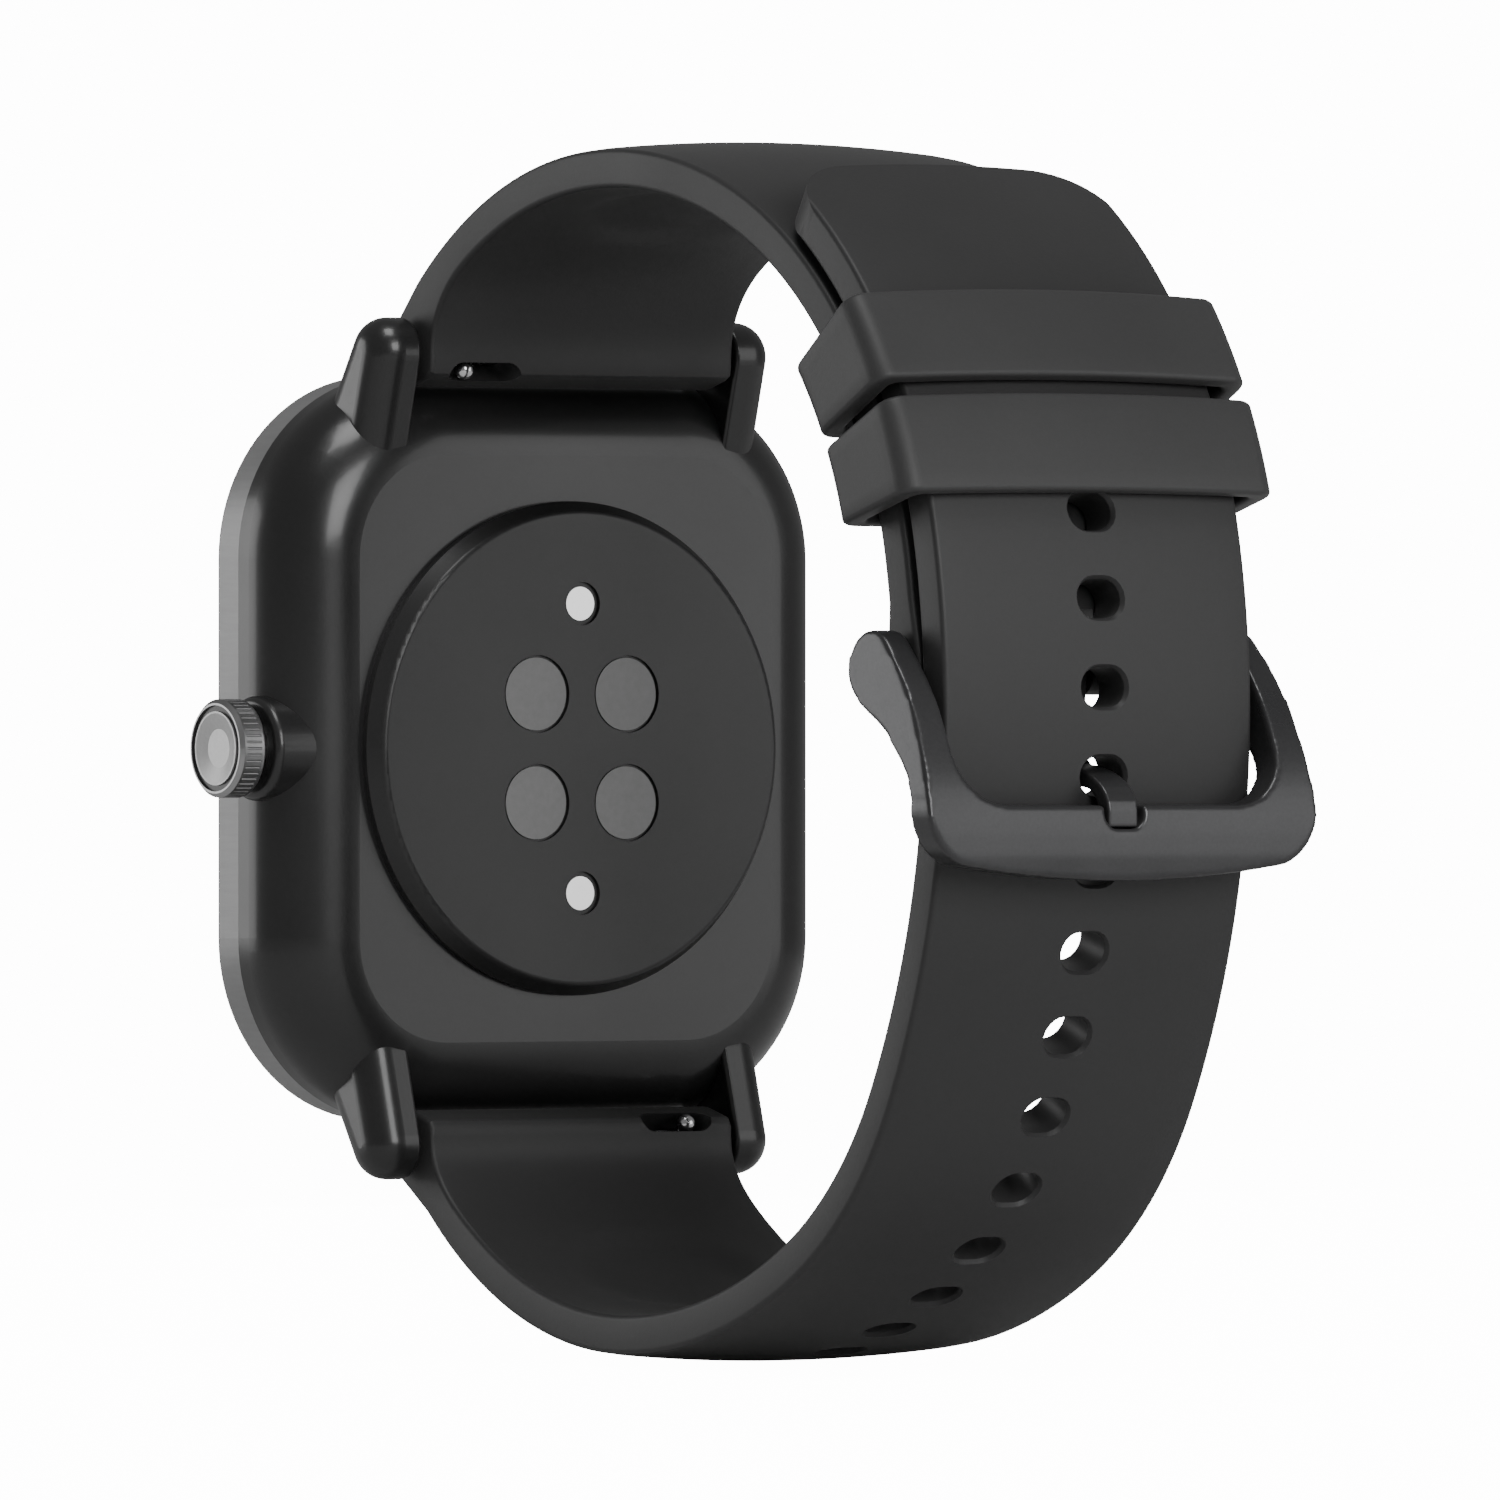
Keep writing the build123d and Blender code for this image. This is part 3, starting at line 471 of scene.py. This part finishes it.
def block_cutter(x, y0, y1, z0, z1):
    """Box of half width x between these depths and heights."""
    rings = [[(-x, y, z0), (x, y, z0), (x, y, z1), (-x, y, z1)] for y in (y0, y1)]
    return cutter("block", rings)


def tail_cutter():
    """Trims the tail square with round corners."""
    b = line_at(0, TAIL_H)
    r, w = 3.9, HALF_W + 0.002
    right = [(w - r + r * sin(a), r - r * cos(a)) for a in [pi / 2 * i / 12 for i in range(13)]]
    left = [(-x, y) for x, y in reversed(right)]
    # the waste is everything past the rounded end
    pts = [(13, r), (13, -3), (-13, -3), (-13, r)] + left + right
    rings = [[local_point(b, TAIL_H, x, -y, out) for x, y in pts] for out in (-2.0, 5.0)]
    return cutter("tail", rings)


# long strap: lug end, band, tail
rings = [ring_between(p, q, d) for p, q, d in reversed(lug_end(-1, 0, -33, -43))]
for p, q, d, h in band_stations(0, -32.2, TAIL_H):
    rings.append(ring_between(p, q, d, dip=dish(h, -21, 13)))
v, f = grid_tube(rings)
long_strap = new_obj("long_strap_band", v, f, MATS["strap_rubber"])
boolean(long_strap, [tail_cutter()] + [hole_cutter(i) for i in range(HOLES)] + [slot_cutter(-1, -SLOT_X)])
shade(long_strap, 32)
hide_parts("long_strap")
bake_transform(long_strap)

# short strap: loop round the pin, band, lug end
rings = [ring_between(p, q, d) for p, q, d in reversed(pin_end(INNER, 98.0))]
for p, q, d, h in band_stations(INNER, 98.8, 211.4):
    rings.append(ring_between(p, q, d, dip=dish(h, 194, 13)))
rings += [ring_between(p, q, d) for p, q, d in lug_end(1, INNER, 212, 222)]
v, f = grid_tube(rings)
short_strap = new_obj("short_strap_band", v, f, MATS["strap_rubber"])
boolean(short_strap, [slot_cutter(1, SLOT_X), block_cutter(1.4, 38, 47, 1.7, 7.3)])
shade(short_strap, 32)
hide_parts("short_strap")
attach(short_strap, "short_band")


def keeper(name, node, body, centre):
    """Rubber loop with soft lips, swept round both strap layers."""
    def ring_line(half, low, edge, mid, r):
        pts = []
        for i in range(25):
            x = -half + r + (2 * half - 2 * r) * i / 24
            pts.append((x, low))
        for i in range(1, 8):
            a = -pi / 2 + pi / 2 * i / 8
            pts.append((half - r + r * cos(a), low + r + r * sin(a)))
        for i in range(9):
            z0, z1 = low + r, edge - r
            pts.append((half, z0 + (z1 - z0) * i / 8))
        for i in range(1, 8):
            a = pi / 2 * i / 8
            pts.append((half - r + r * cos(a), edge - r + r * sin(a)))
        for i in range(33):
            x = half - r - (2 * half - 2 * r) * i / 32
            pts.append((x, edge + (mid - edge) * (1 - (x / (half - r)) ** 2)))
        for i in range(1, 8):
            a = pi / 2 + pi / 2 * i / 8
            pts.append((-half + r + r * cos(a), edge - r + r * sin(a)))
        for i in range(9):
            z0, z1 = low + r, edge - r
            pts.append((-half, z1 + (z0 - z1) * i / 8))
        for i in range(1, 8):
            a = pi + pi / 2 * i / 8
            pts.append((-half + r + r * cos(a), low + r + r * sin(a)))
        return pts
    inner = ring_line(10.7, INNER - 0.12, EDGE + 0.2, MID + 0.15, 0.5)
    outer = ring_line(12.0, INNER - 0.97, EDGE + 1.02, MID + 1.0, 1.15)
    # wall profile (s across the wall, l along the strap)
    prof, length, rr = [], 5.0, 0.3
    for cx, cy, a0 in ((1 - rr, 1, 0), (rr, 1, 90), (rr, -1, 180), (1 - rr, -1, 270)):
        for k in range(5):
            a = radians(a0 + 90 * k / 4)
            prof.append((cx + rr * cos(a), cy * (length / 2 - 0.27) + 0.27 * sin(a)))
    # extra stations so that the wall follows the bend
    full = []
    for a, b in zip(prof, prof[1:] + prof[:1]):
        full.append(a)
        if abs(a[1] - b[1]) > 1:
            full += [tuple(a[m] + (b[m] - a[m]) * k / 6 for m in (0, 1)) for k in range(1, 6)]
    rings = []
    for (xi, oi), (xo, oo) in zip(inner, outer):
        ring = []
        for s_, l_ in full:
            h = centre + math.degrees(l_ / 27.9)
            x, out = xi + (xo - xi) * s_, oi + (oo - oi) * s_
            ring.append((x,) + line_at(out, h))
        rings.append(ring)
    rings.append(rings[0])
    v, f = grid_tube(rings, caps=False)
    o = new_obj(name, v, f, MATS["keeper_rubber"], smooth=50)
    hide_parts(node)
    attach(o, body)


keeper("lower_keeper_loop", "lower_keeper", "loop_low", 111.0)
keeper("upper_keeper_loop", "upper_keeper", "loop_high", 123.2)


def spline(p0, p1, t0, t1, n):
    """Curve from p0 to p1 leaving along t0 and arriving along t1."""
    d = math.dist(p0, p1) / 3
    leave = (p0[0] + t0[0] * d, p0[1] + t0[1] * d)
    arrive = (p1[0] - t1[0] * d, p1[1] - t1[1] * d)
    return bezier(p0, leave, arrive, p1, n)


def prism(name, outline, axis, a, b):
    """Outline extruded between two coordinates: (y, z) along X, or (x, z) along Y."""
    rings = []
    for t in (a, b):
        rings.append([(t, u, v) if axis == "X" else (u, t, v) for u, v in outline])
    return cutter(name, rings)


def soften(o, slot, voxel, rounds):
    """Rounds every edge of a solid a little and gives it its material."""
    m = o.modifiers.new("even", "REMESH")
    m.mode, m.voxel_size = "VOXEL", voxel * MM
    m = o.modifiers.new("soft", "SMOOTH")
    m.factor, m.iterations = 0.5, rounds
    o.data = bpy.data.meshes.new_from_object(o.evaluated_get(bpy.context.evaluated_depsgraph_get()))
    o.modifiers.clear()
    o.data.materials.append(MATS[slot])
    for poly in o.data.polygons:
        poly.use_smooth = True


# buckle: bent legs and bar with soft edges
leg_a = (PIN[0] + LEG_R * cos(radians(42)), PIN[1] + LEG_R * sin(radians(42)))
leg_b = (PIN[0] - LEG_R * cos(radians(48)), PIN[1] - LEG_R * sin(radians(48)))
outline = spline(leg_a, (48.45, 1.5), (0.67, -0.74), (0.42, -0.9), 8)
outline += spline((48.45, 1.5), (50.2, -4.4), (0.42, -0.9), (0.03, -1), 10)[1:]
outline += [(50.2, -5.6), (50.05, -7.2), (48.2, -7.2), (48.2, -5.6), (48.25, -4.2)]
outline += spline((48.3, -2.7), (46.0, 0.55), (-0.2, 1), (-0.72, 0.7), 8)
outline += spline((46.0, 0.55), leg_b, (-0.72, 0.7), (-0.74, 0.67), 6)[1:]
outline += circle_run(PIN, LEG_R, 212, 52, 16)
buckle = prism("buckle_frame_soft", outline, "X", -14, 14)
right = [(10.4, 7), (10.4, 0)] + circle_run((7.45, 0), 2.95, -8, -90, 9)
right_out = [(11.9, 7), (12.5, -2.4)] + circle_run((9.35, -3.1), 3.15, 8, -72, 9)
low = [(x, -6.1 - 0.8 * (1 - (x / 10.3) ** 2)) for x in [10.3 - 20.6 * i / 24 for i in range(3, 22)]]
front = right_out + low + [(-x, z) for x, z in reversed(right_out)]
front += [(-x, z) for x, z in right] + list(reversed(right))
boolean(buckle, [prism("front", front, "Y", 38, 54)], "INTERSECT")
notch = [(1.25, -1.6), (-1.25, -1.6), (-1.25, -3.7), (-0.75, -4.2), (0.75, -4.2), (1.25, -3.7)]
bore = circle_run(PIN, 0.8, 0, 345, 24)
boolean(buckle, [prism("notch", notch, "Y", 38, 54), prism("bore", bore, "X", -11.4, 11.4)])
soften(buckle, "buckle_gunmetal", 0.14, 9)
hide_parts("buckle_frame")
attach(buckle, "buckle")

# tang: eye round the pin, then over the strap and down into the bar's notch
outline = circle_run(PIN, 1.45, 250, -10, 18)
outline += spline((45.35, 3.4), (45.4, -0.45), (-0.1, -1), (0.5, -0.85), 6)
outline += spline((45.9, -0.85), (49.95, -3.2), (1, -0.05), (0.05, -1), 10)
outline += [(49.95, -4.1), (49.05, -4.15)]
outline += spline((49.0, -3.4), (48.0, -2.1), (-0.05, 1), (-0.9, 0.3), 5)
outline += spline((48.0, -2.1), (44.7, -1.8), (-0.95, 0.2), (-1, 0.05), 5)[1:]
outline += spline((44.0, -1.5), (42.9, 2.9), (-0.5, 0.8), (-0.15, 1), 6)
tang = prism("buckle_tang_soft", outline, "X", -0.95, 0.95)
for vert in tang.data.vertices:
    # wider towards its eye
    vert.co.x *= 1 + 0.33 * min(1, max(0, (45.35 - vert.co.y / MM) / 0.8))
boolean(tang, [prism("eye", circle_run(PIN, 0.79, 0, 345, 24), "X", -2, 2)])
soften(tang, "tang_gunmetal", 0.08, 7)
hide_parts("buckle_tang")
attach(tang, "tang")


def coil(name, node, x0, x1, z):
    """Round-wire spring coiled round the spring bar, between x0 and x1."""
    turns, wire, rad = 10, 0.08, 0.38
    rings = []
    for i in range(turns * 16 + 1):
        t = i / (turns * 16)
        a = 2 * pi * turns * t
        c = Vector((x0 + (x1 - x0) * t, BAR[0] + rad * cos(a), z + rad * sin(a)))
        u = Vector((0, cos(a), sin(a)))
        rings.append([tuple(c + u * wire * cos(b) + Vector((1, 0, 0)) * wire * sin(b))
                      for b in [2 * pi * k / 8 for k in range(8)]])
    v, f = grid_tube(rings)
    o = new_obj(name, v, f, MATS["spring_steel"], smooth=80)
    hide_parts(node)
    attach(o, "case")
    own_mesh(o)


coil("upper_spring_coil", "upper_bar_spring", 1.42, 6.28, BAR[1])
coil("lower_spring_coil", "lower_bar_spring", -1.42, -6.28, -BAR[1])

# ---------------------------------------------------------------- camera
az = radians(34.9)
cam_data = bpy.data.cameras.new("camera")
cam = bpy.data.objects.new("camera", cam_data)
bpy.context.collection.objects.link(cam)
cam_data.sensor_width = 36
cam_data.lens = 442.08
cam_data.clip_start, cam_data.clip_end = 0.05, 20
back = Vector((sin(az), cos(az), 0))
side = Vector((-cos(az), sin(az), 0))
cam.location = back * 1.0 + side * 0.00912 + Vector((0, 0, -0.000087))
cam.rotation_euler = (-back).to_track_quat("-Z", "Y").to_euler()
bpy.context.scene.camera = cam

# ---------------------------------------------------------------- floor, surround and light
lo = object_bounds()[0]


def glow(tree, seen, unseen):
    """Strength that is high only where the camera looks straight at the stage, so it stays white."""
    path = tree.nodes.new("ShaderNodeLightPath")
    span = tree.nodes.new("ShaderNodeMapRange")
    span.inputs["To Min"].default_value = unseen
    span.inputs["To Max"].default_value = seen
    tree.links.new(path.outputs["Is Camera Ray"], span.inputs["Value"])
    return span.outputs["Result"]


bpy.ops.mesh.primitive_plane_add(size=0.6, location=(0.0, 0.02, lo[2] - 0.0002))
floor = bpy.context.object
floor.name = "floor"
fm = bpy.data.materials.new("floor_white")
fm.use_nodes = True
fb = fm.node_tree.nodes["Principled BSDF"]
fb.inputs["Base Color"].default_value = (0.7, 0.7, 0.7, 1)
fb.inputs["Roughness"].default_value = 0.9
fb.inputs["Emission Color"].default_value = (1, 1, 1, 1)
fm.node_tree.links.new(glow(fm.node_tree, 14.0, 0.0), fb.inputs["Emission Strength"])
floor.data.materials.append(fm)

world = bpy.data.worlds.new("world")
bpy.context.scene.world = world
world.use_nodes = True
wb = world.node_tree.nodes["Background"]
wb.inputs["Color"].default_value = (1, 1, 1, 1)
world.node_tree.links.new(glow(world.node_tree, 14.0, 0.2), wb.inputs["Strength"])


def area(name, loc, size, power, size_y=None):
    """Area lamp aimed at the middle of the watch."""
    d = bpy.data.lights.new(name, "AREA")
    d.energy = power
    d.shape = "RECTANGLE"
    d.size, d.size_y = size, size_y or size
    o = bpy.data.objects.new(name, d)
    bpy.context.collection.objects.link(o)
    o.location = loc
    o.rotation_euler = (Vector((0, 0.02, 0)) - Vector(loc)).to_track_quat("-Z", "Y").to_euler()


area("right_box", (-0.46, 0.66, 0.12), 0.5, 1.25)
area("left_box", (0.46, -0.62, 0.0), 0.4, 1.9, 0.6)
area("key", (0.1, 0.8, 0.3), 0.4, 3.3)
area("top", (0.15, 0.25, 0.8), 0.35, 2.6)
